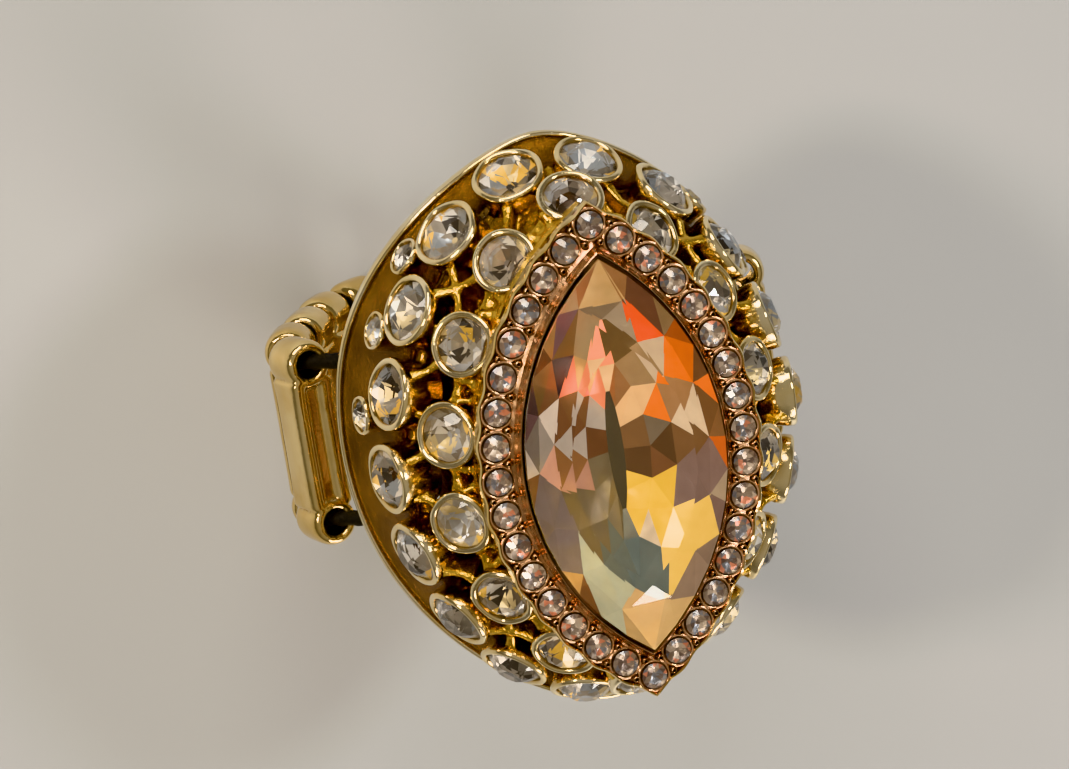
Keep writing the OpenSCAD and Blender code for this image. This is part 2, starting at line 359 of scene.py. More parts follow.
def noise(tree, vector, scale, detail=3.0, roughness=0.5):
    """Cloudy noise, from about 0.3 to 0.7."""
    node = tree.nodes.new("ShaderNodeTexNoise")
    node.inputs["Scale"].default_value = scale
    node.inputs["Detail"].default_value = detail
    node.inputs["Roughness"].default_value = roughness
    tree.links.new(vector, node.inputs["Vector"])
    return node.outputs["Fac"]


def ramp(tree, value, stops):
    """A colour for each value, through (place, colour) stops."""
    node = tree.nodes.new("ShaderNodeValToRGB")
    elements = node.color_ramp.elements
    while len(elements) < len(stops):
        elements.new(0.5)
    for element, (place, colour) in zip(elements, stops):
        element.position = place
        element.color = (*colour, 1.0)
    tree.links.new(value, node.inputs["Fac"])
    return node.outputs["Color"]


def spread(tree, value, low, high):
    """Maps 0.3 to 0.7 of a noise to low to high."""
    node = tree.nodes.new("ShaderNodeMapRange")
    node.inputs["From Min"].default_value = 0.3
    node.inputs["From Max"].default_value = 0.7
    node.inputs["To Min"].default_value = low
    node.inputs["To Max"].default_value = high
    tree.links.new(value, node.inputs["Value"])
    return node.outputs["Result"]


def bump(tree, value, shader, distance_mm):
    """Raises a shader's surface by a value."""
    node = tree.nodes.new("ShaderNodeBump")
    node.inputs["Strength"].default_value = 1.0
    node.inputs["Distance"].default_value = distance_mm * MM
    tree.links.new(value, node.inputs["Height"])
    tree.links.new(node.outputs["Normal"], shader.inputs["Normal"])


def occlusion(tree, distance_mm):
    """How open a place is to the light around it, from 0 in a deep corner to 1 in the open."""
    node = tree.nodes.new("ShaderNodeAmbientOcclusion")
    node.samples = 8
    node.inputs["Distance"].default_value = distance_mm * MM
    return node.outputs["AO"]


def mix_colours(tree, factor, first, second, blend_type="MIX"):
    """Mixes two colours, each a socket or a plain colour."""
    node = tree.nodes.new("ShaderNodeMix")
    node.data_type = "RGBA"
    node.blend_type = blend_type
    # Sockets 6 and 7, and output 2, are the ones for colours
    for value, socket in ((factor, node.inputs[0]), (first, node.inputs[6]), (second, node.inputs[7])):
        if isinstance(value, bpy.types.NodeSocket):
            tree.links.new(value, socket)
        elif isinstance(value, tuple):
            socket.default_value = (*value, 1.0)
        else:
            socket.default_value = value
    return node.outputs[2]


def plated_metal(name, light, dark, corner, rough, ripple, ripple_scale, reach=1.2, opens=(0.35, 0.85)):
    """Plated casting: its colour drifts between light and dark, and turns to corner, a painted shade, in
    narrow places.

    rough is the range of its roughness, and ripple the height of its ripples. reach is how far it looks for
    other surfaces. opens is how open a place is where the painted corner shade starts to go and where it has
    gone.
    """
    material, tree, shader = new_material(name)
    vector = mm_coordinates(tree)
    slow = noise(tree, vector, 0.45, 3.0)
    fine = noise(tree, vector, ripple_scale, 4.0, 0.6)
    face = ramp(tree, slow, [(0.35, dark), (0.65, light)])
    # The corner colour is painted shade, mixed in where the occlusion finds a place closed in
    black_to_white = [(opens[0], (0.0, 0.0, 0.0)), (opens[1], (1.0, 1.0, 1.0))]
    openness = ramp(tree, occlusion(tree, reach), black_to_white)
    tree.links.new(mix_colours(tree, openness, corner, face), shader.inputs["Base Color"])
    tree.links.new(spread(tree, fine, *rough), shader.inputs["Roughness"])
    shader.inputs["Metallic"].default_value = 1.0
    bump(tree, fine, shader, ripple)
    return material


def foil(name, metallic, rough, shade):
    """The mirror backing of a cut stone, tinted facet by facet, with faint clouds as dark as shade."""
    material, tree, shader = new_material(name)
    tint = tree.nodes.new("ShaderNodeAttribute")
    tint.attribute_name = "tint"
    cloud = noise(tree, mm_coordinates(tree), 1.4, 3.0)
    clouds = ramp(tree, cloud, [(0.3, (shade, shade, shade)), (0.7, (1.0, 1.0, 1.0))])
    colour = mix_colours(tree, 1.0, tint.outputs["Color"], clouds, "MULTIPLY")
    tree.links.new(colour, shader.inputs["Base Color"])
    tree.links.new(spread(tree, cloud, rough, rough + 0.08), shader.inputs["Roughness"])
    shader.inputs["Metallic"].default_value = metallic
    return material


def crystal(name, light, dark, index):
    """Clear cut glass with the faintest scuffing, which lets the lamps' light through to its backing."""
    material, tree, shader = new_material(name)
    vector = mm_coordinates(tree)
    cloud = noise(tree, vector, 0.8, 2.0)
    scuff = noise(tree, vector, 9.0, 5.0, 0.7)
    tree.links.new(ramp(tree, cloud, [(0.3, dark), (0.7, light)]), shader.inputs["Base Color"])
    tree.links.new(spread(tree, scuff, 0.0, 0.03), shader.inputs["Roughness"])
    shader.inputs["Transmission Weight"].default_value = 1.0
    shader.inputs["IOR"].default_value = index
    path = tree.nodes.new("ShaderNodeLightPath")
    clear = tree.nodes.new("ShaderNodeBsdfTransparent")
    clear.inputs["Color"].default_value = (0.9, 0.88, 0.86, 1.0)
    either = tree.nodes.new("ShaderNodeMixShader")
    tree.links.new(path.outputs["Is Shadow Ray"], either.inputs[0])
    tree.links.new(shader.outputs[0], either.inputs[1])
    tree.links.new(clear.outputs[0], either.inputs[2])
    tree.links.new(either.outputs[0], tree.nodes["Material Output"].inputs["Surface"])
    return material


def elastic(name):
    """The black woven cover of an elastic cord."""
    material, tree, shader = new_material(name)
    weave = noise(tree, mm_coordinates(tree), 6.0, 3.0, 0.6)
    colour = ramp(tree, weave, [(0.3, (0.004, 0.004, 0.004)), (0.7, (0.014, 0.012, 0.010))])
    tree.links.new(colour, shader.inputs["Base Color"])
    shader.inputs["Roughness"].default_value = 0.6
    shader.inputs["Specular IOR Level"].default_value = 0.2
    bump(tree, weave, shader, 0.03)
    return material


# Each corner colour below is painted shade for the metal's narrow places
gold = plated_metal("gold_plate", light=(0.90, 0.71, 0.38), dark=(0.78, 0.56, 0.24),
                    corner=(0.34, 0.18, 0.04), rough=(0.06, 0.15), ripple=0.012, ripple_scale=2.2)
# Partly painted highlight: the bezels and crest are paler than the other gold, for the cream sheen on their
# lips
pale_gold = plated_metal("pale_gold", light=(0.95, 0.82, 0.56), dark=(0.88, 0.70, 0.38),
                         corner=(0.48, 0.30, 0.09), rough=(0.06, 0.16), ripple=0.016, ripple_scale=2.6)
cast_gold = plated_metal("cast_gold", light=(0.92, 0.62, 0.15), dark=(0.66, 0.38, 0.06),
                         corner=(0.20, 0.09, 0.012), rough=(0.12, 0.28), ripple=0.05, ripple_scale=3.8,
                         reach=1.6, opens=(0.30, 0.80))
# Painted shade: a gold darker and browner than the plating, with its own mottling, for the sunk wall that
# lies in shade
painted_shade_gold = plated_metal("painted_shade_gold", light=(0.40, 0.20, 0.035), dark=(0.18, 0.08, 0.012),
                          corner=(0.10, 0.042, 0.006), rough=(0.08, 0.26), ripple=0.16, ripple_scale=5.0,
                          reach=2.2, opens=(0.35, 0.95))
rose = plated_metal("rose_plate", light=(0.90, 0.59, 0.37), dark=(0.74, 0.44, 0.25),
                    corner=(0.36, 0.18, 0.09), rough=(0.10, 0.24), ripple=0.015, ripple_scale=2.6,
                    reach=0.6, opens=(0.25, 0.75))
centre_foil = foil("centre_foil", metallic=0.35, rough=0.12, shade=0.90)
stone_foil = foil("stone_foil", metallic=0.45, rough=0.14, shade=0.75)
centre_glass = crystal("centre_glass", light=(1.0, 0.97, 0.94), dark=(1.0, 0.94, 0.90), index=1.52)
clear_glass = crystal("clear_glass", light=(1.0, 1.0, 1.0), dark=(0.97, 0.96, 0.95), index=1.54)
cord_rubber = elastic("elastic_cord")


# ---------------------------------------------------------------- cut stones

GLASS_KIND = 0
FOIL_KIND = 1


class Cut:
    """The facets of a brilliant cut over any outline, which gives (x, y) for each share of the way round.

    n is the number of main facets. table and star are shares of the outline's size, and crown and girdle are
    heights. pavilion lists (share, depth) for the rings of corners below the girdle, and tip is the lowest.
    """

    def __init__(self, outline, n, table, star, crown, girdle, pavilion, tip):
        self.points = []
        self.faces = []
        self.kinds = []

        def ring(count, shift, scale, height):
            start = len(self.points)
            for k in range(count):
                x, y = outline((k + shift) / count)
                sx, sy = scale if isinstance(scale, tuple) else (scale, scale)
                self.points.append((x * sx, y * sy, height))
            return list(range(start, start + count))

        star_z = crown * (1 - (star * math.cos(math.pi / n) - table) / (1 - table))
        t = ring(n, 0.0, table, girdle / 2 + crown)
        s = ring(n, 0.5, star, girdle / 2 + star_z)
        g = ring(2 * n, 0.0, 1.0, girdle / 2)
        h = ring(2 * n, 0.0, 1.0, -girdle / 2)
        self.face(t, GLASS_KIND)
        for k in range(n):
            j = (k + 1) % n
            self.face((t[k], t[j], s[k]), GLASS_KIND)
            self.face((s[k], t[j], s[j]), GLASS_KIND)
            self.face((s[k], s[j], g[2 * j]), GLASS_KIND)
            self.face((g[2 * k], s[k], g[2 * k + 1]), GLASS_KIND)
            self.face((g[2 * k + 1], s[k], g[(2 * k + 2) % (2 * n)]), GLASS_KIND)
        for k in range(2 * n):
            j = (k + 1) % (2 * n)
            self.face((g[k], g[j], h[j], h[k]), GLASS_KIND)
        upper = None
        for i, (scale, depth) in enumerate(pavilion):
            lower = ring(n, 0.5 if i % 2 == 0 else 0.0, scale, -girdle / 2 - depth)
            for k in range(n):
                j = (k + 1) % n
                if upper is None:
                    self.face((h[2 * k], h[2 * k + 1], lower[k]), FOIL_KIND)
                    self.face((h[2 * k + 1], h[(2 * k + 2) % (2 * n)], lower[k]), FOIL_KIND)
                    self.face((lower[k], h[(2 * k + 2) % (2 * n)], lower[j]), FOIL_KIND)
                elif i % 2 == 1:
                    self.face((upper[k], upper[j], lower[j]), FOIL_KIND)
                    self.face((upper[k], lower[j], lower[k]), FOIL_KIND)
                else:
                    self.face((upper[k], upper[j], lower[k]), FOIL_KIND)
                    self.face((upper[j], lower[j], lower[k]), FOIL_KIND)
            upper = lower
        end = ring(n, 0.5 if len(pavilion) % 2 == 1 else 0.0, tip[0], -girdle / 2 - tip[1])
        for k in range(n):
            j = (k + 1) % n
            self.face((upper[k], upper[j], end[j], end[k]), FOIL_KIND)
        self.face(tuple(reversed(end)), FOIL_KIND)
        self.points = np.array(self.points, float)

    def face(self, corners, kind):
        """Adds a facet, of clear glass or of the foil behind it."""
        self.faces.append(tuple(corners))
        self.kinds.append(kind)

    def centres(self):
        """The middle of each facet."""
        return [self.points[list(f)].mean(axis=0) for f in self.faces]


def circle_outline(radius):
    """A round outline for a Cut."""
    return lambda share: (radius * math.sin(2 * math.pi * share), radius * math.cos(2 * math.pi * share))


def round_cut(radius, table, crown, depth):
    """A round stone with eight main facets; table, crown and depth are shares of its radius."""
    girdle = 0.06 * radius
    return Cut(circle_outline(radius * 0.995), 8, table, (1 + table) / 2, crown * radius, girdle,
               [(0.55, 0.52 * depth * radius)], (0.12, depth * radius))


# Colours of the mirror behind a middle stone's facets, and how often each comes. They are partly painted
# reflection: the gold facets stand for the gold round the stone, the near white ones for a lamp and the near
# black ones for shade
MIDDLE_TINTS = [((0.36, 0.32, 0.26), 4), ((0.20, 0.17, 0.14), 3), ((0.60, 0.48, 0.26), 2),
                ((0.95, 0.62, 0.14), 1.5), ((0.42, 0.42, 0.42), 3), ((0.08, 0.07, 0.06), 2),
                ((0.85, 0.82, 0.76), 1.5)]

# The same for the outer row and the shoulders, which stand more in the open
OUTER_TINTS = [((0.34, 0.30, 0.25), 4), ((0.20, 0.18, 0.15), 3), ((0.62, 0.50, 0.30), 2),
               ((0.90, 0.56, 0.14), 0.8), ((0.34, 0.36, 0.38), 3), ((0.07, 0.06, 0.05), 2),
               ((0.95, 0.92, 0.88), 1.2)]

# The same for the halo, whose pink facets are a painted reflection of the metal round it
HALO_TINTS = [((0.26, 0.20, 0.15), 4), ((0.15, 0.11, 0.09), 3), ((0.46, 0.37, 0.28), 1.5),
              ((0.56, 0.22, 0.13), 1), ((0.17, 0.17, 0.18), 2)]


def stone_tints(cut, rng, tints):
    """A colour for each facet of a small stone's backing, partly painted reflection."""
    colours, weights = zip(*tints)
    return [(*rng.choices(colours, weights)[0], 1.0) for _ in cut.faces]


def make_round_stones(name, seats, rng, tints, table, crown, depth):
    """One piece for a CAD node's round stones, each at its own seat and turned its own way."""
    mesh = Mesh()
    for seat in seats:
        cut = round_cut(seat.radius, table, crown, depth)
        points = seat.place(cut.points, turn=rng.uniform(0, math.pi))
        mesh.add(points, cut.faces, cut.kinds, stone_tints(cut, rng, tints))
    make_piece(name + "_cut", mesh, [clear_glass, stone_foil], "head", False, [name])


def make_small_stones():
    """The middle and outer rows stone by stone, then the shoulders and the halo."""
    rng = random.Random(7)
    for name, seat in zip(middle_names, middle_seats):
        make_round_stones(name, [seat], rng, MIDDLE_TINTS, table=0.46, crown=0.42, depth=0.66)
    for name, seat in zip(outer_names, outer_seats):
        make_round_stones(name, [seat], rng, OUTER_TINTS, table=0.46, crown=0.42, depth=0.50)
    make_round_stones("shoulder_stones", shoulder_seats, rng, OUTER_TINTS, table=0.46, crown=0.48, depth=0.66)
    make_round_stones("halo_stones", halo_seats, rng, HALO_TINTS, table=0.34, crown=0.48, depth=0.26)


# Colours of the centre stone's backing: a place, in shares of its half width and half length, and a colour
CENTRE_PATCHES = [
    ((0.0, 0.86), (0.36, 0.24, 0.11)), ((-0.12, 0.66), (0.34, 0.26, 0.15)),
    ((-0.40, 0.62), (0.12, 0.08, 0.10)), ((0.36, 0.74), (0.16, 0.08, 0.05)),
    ((0.26, 0.62), (1.0, 0.14, 0.02)), ((0.0, 0.46), (0.84, 0.24, 0.13)),
    ((0.36, 0.52), (0.38, 0.26, 0.14)), ((0.64, 0.38), (1.0, 0.24, 0.02)),
    ((0.16, 0.34), (0.56, 0.37, 0.20)), ((-0.70, 0.38), (0.18, 0.12, 0.13)),
    ((-0.46, 0.18), (0.48, 0.44, 0.38)), ((0.88, 0.12), (0.70, 0.17, 0.03)),
    ((-0.46, -0.02), (0.66, 0.38, 0.27)), ((0.46, 0.04), (0.28, 0.16, 0.08)),
    ((-0.66, -0.26), (0.20, 0.17, 0.16)), ((-0.16, -0.20), (0.19, 0.16, 0.10)),
    ((0.28, -0.26), (0.90, 0.58, 0.10)), ((0.0, -0.46), (0.12, 0.15, 0.14)),
    ((0.76, -0.24), (0.24, 0.17, 0.15)), ((0.42, -0.52), (0.92, 0.64, 0.18)),
    ((0.64, -0.66), (0.28, 0.21, 0.16)), ((-0.36, -0.64), (0.50, 0.54, 0.40)),
    ((0.10, -0.88), (0.58, 0.41, 0.20))]
# Colours of the stray facets among them, most of which are in the half towards +Y
SHARD_TINTS = [(0.42, 0.27, 0.12), (0.16, 0.08, 0.04), (0.52, 0.42, 0.30), (0.28, 0.15, 0.07)]


def nearest_patch(x, y):
    """The colour of the patch nearest to a place. Lengthways distances count for more."""
    return min(CENTRE_PATCHES, key=lambda p: (p[0][0] - x) ** 2 + (1.6 * (p[0][1] - y)) ** 2)[1]


def make_centre_stone():
    """The large marquise, with each facet of its backing in its own colour."""
    rng = random.Random(21)
    half_l = (stone_high[1] - stone_low[1]) / 2
    half_w = (stone_high[0] - stone_low[0]) / 2
    radius = vesica_radius(half_l, half_w)
    off = radius - half_w
    reach = math.asin(half_l / radius)

    def outline(share):
        side = 1 if share < 0.5 else -1
        a = reach - 2 * reach * (share % 0.5) / 0.5
        return side * (radius * math.cos(a) - off), side * radius * math.sin(a)

    crown = 1.1
    girdle = 0.16
    depth = 3.1
    cut = Cut(outline, 14, 0.62, 0.81, crown, girdle,
              [((0.78, 0.84), 0.28 * depth), ((0.54, 0.66), 0.54 * depth), ((0.32, 0.50), 0.78 * depth)],
              ((0.08, 0.34), depth))
    tints = []
    for centre in cut.centres():
        # The patches break up in the half towards +Y and stay nearly whole in the other
        broken = 1.0 if centre[1] > -0.1 * half_l else 0.2
        x = centre[0] / half_w + broken * rng.uniform(-0.12, 0.12)
        y = centre[1] / half_l + broken * rng.uniform(-0.06, 0.06)
        shade = 1 + broken * rng.choice((-0.6, -0.25, 0.0, 0.0, 0.2, 0.5))
        colour = nearest_patch(x, y) if rng.random() > 0.32 * broken else rng.choice(SHARD_TINTS)
        tints.append((*[min(1.0, c * shade) for c in colour], 1.0))
    girdle_z = stone_high[2] - crown - girdle / 2
    mesh = Mesh()
    mesh.add(cut.points + girdle_z * UP, cut.faces, cut.kinds, tints)
    make_piece("center_stone_cut", mesh, [centre_glass, centre_foil], "head", False,
               ["center_stone"])


# ---------------------------------------------------------------- head

def wobble_of(rng):
    """A slight hand-finished unevenness round a ring."""
    size = 0.018
    waves = [(k, rng.uniform(-size, size), rng.uniform(0, 2 * math.pi)) for k in (2, 3, 5)]
    return lambda turn: 1 + sum(a * np.cos(k * turn + p) for k, a, p in waves)


def bezel_profile(radius, wall, depth):
    """Cross-section of a bezel as (radius, height): a rounded lip over the stone's edge, then a taper."""
    inner = radius - 0.03
    outer = radius + wall
    middle = (inner + outer) / 2
    half = (outer - inner) / 2
    lip = [(middle - half * math.cos(a), 0.06 + 0.18 * math.sin(a)) for a in np.linspace(0, math.pi, 9)]
    return lip + [(outer - 0.02, -0.25), (outer - 0.10, -0.6), (outer - 0.14, -depth), (inner - 0.1, -depth),
                  (inner + 0.04, -0.10)]


def make_bezels():
    """The ring of metal round each stone of the middle and outer rows and the shoulders."""
    rng = random.Random(3)
    mesh = Mesh()
    rows = ((middle_seats, 0.31, 1.35), (outer_seats, 0.30, 1.8), (shoulder_seats, 0.16, 1.0))
    for seats, wall, depth in rows:
        for seat in seats:
            mesh.lathe(seat, bezel_profile(seat.radius, wall, depth), wobble=wobble_of(rng))
    make_piece("head_bezels", mesh, [pale_gold], "head")


def halo_gallery(mesh):
    """The upright wall under the halo that the middle row joins, and its flared foot inside the dome."""
    # How far out from the halo's line, and height against the halo's top
    levels = [(0.62, -1.0), (0.72, -1.6), (0.60, -2.6), (0.55, -3.4), (1.1, -4.4), (1.75, -5.4), (1.45, -5.6),
              (0.6, -4.6), (0.05, -3.8), (0.05, -1.0)]
    count = 160
    rings = []
    for grow, drop in levels:
        plan = vesica_points(HALO_L, HALO_W, count, grow)
        rings.append(np.column_stack([plan, np.full(count, halo_z + drop)]))
    mesh.loop(rings)


def nearest(seat, others, count):
    """The seats nearest to one seat."""
    return sorted(others, key=lambda o: np.linalg.norm(o.centre - seat.centre))[:count]


def toward_gallery(point):
    """The nearest place on the wall under the halo."""
    plan = vesica_points(HALO_L, HALO_W, 160, 0.5)
    best = plan[np.argmin(np.linalg.norm(plan - point[:2], axis=1))]
    return np.array([best[0], best[1], halo_z - 1.9])


def add_fin(mesh, start, end, up, thick, depth):
    """A thin upright web between two places, as deep as the casting, with its top edge sagging a little."""
    along = unit(end - start)
    across = unit(np.cross(up, along))
    down = unit(np.cross(across, along))
    if down @ up > 0:
        down = -down
    rings = []
    for share in np.linspace(0, 1, 7):
        at = start + (end - start) * share + down * 0.22 * math.sin(math.pi * share)
        half = thick / 2 * (1 + 0.6 * abs(2 * share - 1) ** 2)
        low = at + down * depth
        rings.append(np.array([at - half * across, at + half * across, low + 1.2 * half * across,
                               low - 1.2 * half * across]))
    mesh.grid(rings, caps=True)


def rim_point(seat, toward):
    """A place just inside a seat's bezel and below its lip, on the side that faces another place."""
    flat = toward - seat.centre
    flat = unit(flat - (flat @ seat.normal) * seat.normal)
    return seat.centre + (seat.radius + 0.22) * flat - 0.12 * seat.normal


def add_lug(mesh, side, y):
    """The eyelet inside the wall that a cord enters, and the bracket that holds it."""
    centre, along = head_cord_place(side)
    centre = centre + y * FINGER
    out = np.cross(along, FINGER)
    eyelet = [(0.68, -1.0), (0.80, -1.1), (1.0, -1.08), (1.12, -0.9), (1.15, 0.0), (1.12, 0.9), (1.0, 1.08),
              (0.80, 1.1), (0.68, 1.0)]
    add_barrel(mesh, centre, along, out, eyelet)
    wall_x = side * (row_point(RIM_ROW, math.acos(y / RIM_ROW[0]))[0] - 1.55)
    for rise in (-0.3, 0.35):
        start = centre + np.array([side * 0.95, rise, 0.5])
        mesh.rod(start, np.array([wall_x, y + rise, centre[2] + 1.9]), 0.5, 0.62, 12)


def make_lattice():
    """The openwork casting: cups under the bezels and the thin webs between them, melted into one skin."""
    rng = random.Random(11)
    mesh = Mesh()
    halo_gallery(mesh)
    for seats in (middle_seats, outer_seats):
        for seat in seats:
            top = seat.centre - 1.02 * seat.normal
            mesh.rod(top, top - 0.45 * seat.normal, seat.radius + 0.16, seat.radius - 0.2, 24)
    for k, seat in enumerate(middle_seats):
        other = middle_seats[(k + 1) % len(middle_seats)]
        add_fin(mesh, rim_point(seat, other.centre), rim_point(other, seat.centre), seat.normal, 0.42, 1.1)
        gallery = toward_gallery(seat.centre)
        inward = unit(gallery - seat.centre)
        across = unit(np.cross(UP, inward))
        for side in (-1, 1):
            foot = toward_gallery(seat.centre + 1.7 * side * across)
            start = rim_point(seat, seat.centre + side * across + 0.25 * inward)
            add_fin(mesh, start, foot, UP, 0.40, 1.5)
            for share in (0.25, 0.5, 0.75, 1.0):
                at = start + (foot - start) * share
                jitter = np.array([rng.uniform(-0.1, 0.1), rng.uniform(-0.1, 0.1), 0.02])
                mesh.ball(at + jitter, rng.uniform(0.19, 0.27))
    for seat in outer_seats:
        for other in nearest(seat, middle_seats, 2):
            start = rim_point(seat, other.centre)
            add_fin(mesh, start, rim_point(other, seat.centre), seat.normal, 0.34, 1.3)
        for other in nearest(seat, [s for s in outer_seats if s is not seat], 2):
            mesh.rod(seat.centre - 1.4 * seat.normal, other.centre - 1.4 * other.normal, 0.42)
    for side in (-1, 1):
        for end in (-1, 1):
            add_lug(mesh, side, end * CORD_Y)
    piece = make_piece("head_openwork", mesh, [cast_gold], "head", True, ["head_frame"])
    melt(piece, 0.12, 3)


def melt(piece, voxel_mm, smoothing):
    """Joins a piece's overlapping shapes into one closed skin with softened inside corners."""
    remesh = piece.modifiers.new("melt", "REMESH")
    remesh.mode = "VOXEL"
    remesh.voxel_size = voxel_mm * MM
    remesh.use_smooth_shade = True
    soften = piece.modifiers.new("soften", "SMOOTH")
    soften.factor = 0.5
    soften.iterations = smoothing
    apply_modifiers(piece)


def make_wall():
    """The rim's narrow band and rolled crest, then the sunk wall that rises to the outer row of bezels."""
    count = 300
    # Share of the way up from the crest to the outer row, and depth below the straight line between them
    outside = [(0.10, -0.34), (0.20, -0.44), (0.40, -0.54), (0.65, -0.70), (0.85, -0.80), (1.0, -0.82),
               (1.03, -1.15)]
    inside = [(0.95, -1.65), (0.7, -1.5), (0.4, -1.25), (0.12, -0.95)]
    roll = 0.15
    roll_points = 8
    rings = []
    for k in range(count):
        angle = 2 * math.pi * k / count
        # The average of five places near each other rounds off the rim's tips
        plan = sum(row_point(RIM_ROW, angle + turn) for turn in (-0.20, -0.10, 0.0, 0.10, 0.20)) / 5
        row = row_point(OUTER_ROW, angle)
        out = np.array([*row_normal(RIM_ROW, angle), 0.0])
        high = row + 0.35 * row_normal(OUTER_ROW, angle)
        lower = np.array([*plan, rim_z(plan[0])])
        crest = np.array([*plan, crest_z(plan[0])])
        top = np.array([*high, outer_seat_z(row[1]) - 0.38])
        normal = unit(np.cross(np.cross(UP, out), top - crest))
        if normal @ out < 0:
            normal = -normal
        band = crest - lower
        centre = crest - (roll + 0.02) * out - roll * UP
        ring = [lower - 0.42 * out + 0.01 * UP, lower - 0.28 * out + 0.03 * UP,
                lower + 0.2 * band - 0.14 * out, lower + 0.5 * band - 0.04 * out, lower + 0.8 * band]
        sunk_from = len(ring) + roll_points - 1
        for turn in np.linspace(0, math.pi, roll_points):
            ring.append(centre + roll * (math.cos(turn) * out + math.sin(turn) * UP))
        for share, offset in outside + inside:
            ring.append(crest + (top - crest) * share + offset * normal)
        ring += [lower - 0.75 * out + 0.25 * band, lower - 0.6 * out + 0.03 * UP, lower - 0.3 * out]
        rings.append(np.array(ring))
    mesh = Mesh()
    mesh.loop(rings)
    size = len(rings[0])
    sunk = range(sunk_from, sunk_from + len(outside))
    # The sunk faces take the second material, the darker gold that is painted shade; the rest take the pale
    # gold, partly painted highlight
    mesh.kinds = [1 if (i % size) in sunk else 0 for i in range(len(mesh.faces))]
    make_piece("head_wall", mesh, [pale_gold, painted_shade_gold], "head")


# ---------------------------------------------------------------- halo

def halo_ring(grow, height, count, scallop):
    """One loop round the halo, grown from the line of its stones and kept round past its tips."""
    plan = vesica_points(HALO_L, HALO_W, count)
    direction = vesica_points(HALO_L, HALO_W, count, grow) - plan
    length = np.maximum(np.linalg.norm(direction, axis=1), 1e-6)
    direction *= (np.minimum(length, abs(grow) * 1.35) / length)[:, None]
    outward = direction / np.maximum(np.linalg.norm(direction, axis=1), 1e-6)[:, None]
    wave = scallop * np.cos(2 * math.pi * np.arange(count) * len(halo_seats) / count)
    return np.column_stack([plan + direction + outward * wave[:, None], np.full(count, halo_z + height)])


def make_halo():
    """The marquise tray: rose gold on top with a seat for each small stone, yellow gold outside."""
    count = 512
    # How far out from the line of the stones, height against the halo's top, material number, scallop
    profile = [(0.30, -1.15, 0, 0.0), (0.66, -1.05, 0, 0.0), (0.80, -0.75, 0, 0.02), (0.84, -0.35, 0, 0.06),
               (0.82, -0.10, 0, 0.07), (0.76, 0.0, 0, 0.07), (0.70, -0.05, 0, 0.07), (0.62, -0.26, 1, 0.05),
               (-0.56, -0.26, 1, 0.0), (-0.60, -0.10, 1, 0.0), (-0.66, -0.04, 1, 0.0), (-0.78, 0.06, 1, 0.0),
               (-0.90, 0.26, 1, 0.0), (-0.97, 0.44, 1, 0.0), (-1.01, 0.48, 1, 0.0), (-1.05, 0.42, 1, 0.0),
               (-1.06, 0.10, 1, 0.0), (-1.06, -3.9, 1, 0.0)]
    rings = [halo_ring(grow, height, count, scallop) for grow, height, _, scallop in profile]
    mesh = Mesh()
    for i in range(len(rings) - 1):
        mesh.grid([rings[i], rings[i + 1]], profile[i + 1][2])
    mesh.add(rings[-1], [tuple(range(count))], 1)
    for seat in halo_seats:
        ring = [(0.63, -0.30), (0.64, -0.10), (0.67, -0.05), (0.74, -0.04), (0.80, -0.08), (0.84, -0.30)]
        mesh.lathe(seat, ring, 32, 1)
    for i, seat in enumerate(halo_seats):
        for other in nearest(seat, halo_seats[:i] + halo_seats[i + 1:], 2):
            middle = (seat.centre + other.centre) / 2
            across = np.cross(UP, unit(other.centre - seat.centre))
            for side in (-1, 1):
                mesh.ball(middle + side * 0.46 * across + [0, 0, 0.03], 0.17, 1, 8, 6)
    make_piece("halo_tray", mesh, [gold, rose], "head", True, ["halo_setting"])


# ---------------------------------------------------------------- band

def link_place(name):
    """Centre of a link and the direction of the cords through it."""
    points = solids_of(name)[0]
    side = points[points[:, 1] > points[:, 1].max() - 0.03]
    centre = (side.min(axis=0) + side.max(axis=0)) / 2
    centre[1] = 0
    # A link is longest, in side view, along its cords, and eigh puts that axis last
    _, axes = np.linalg.eigh(np.cov((side - side.mean(axis=0))[:, [0, 2]].T))
    return centre, unit(np.array([axes[0, 1], 0, axes[1, 1]]))


def head_cord_place(side):
    """Centre and direction of the head's eyelets on one side, on the circle that the cords follow."""
    angle = math.radians(LUG_DEGREES)
    centre = CORD_LOOP_R * np.array([side * math.sin(angle), 0, math.cos(angle)])
    return centre, np.array([math.cos(angle), 0, -side * math.sin(angle)])


def add_barrel(mesh, centre, along, out, profile, sides=40):
    """A closed profile of (radius, distance along) pairs turned round the line of a cord."""
    circle = np.outer(np.cos(turns(sides)), out) + np.outer(np.sin(turns(sides)), FINGER)
    mesh.loop([centre + distance * along + radius * circle for radius, distance in profile])


def add_bar(mesh, centre, along, out, half_l, section):
    """A bar across the finger with this outline, given as (along the cord, out from the finger)."""
    rings = []
    for share in np.linspace(-1, 1, 15):
        swell = 1 + 0.10 * share ** 4
        middle = centre + share * half_l * FINGER
        rings.append(np.array([middle + t * swell * along + r * out for t, r in section]))
    mesh.grid(rings, caps=True)


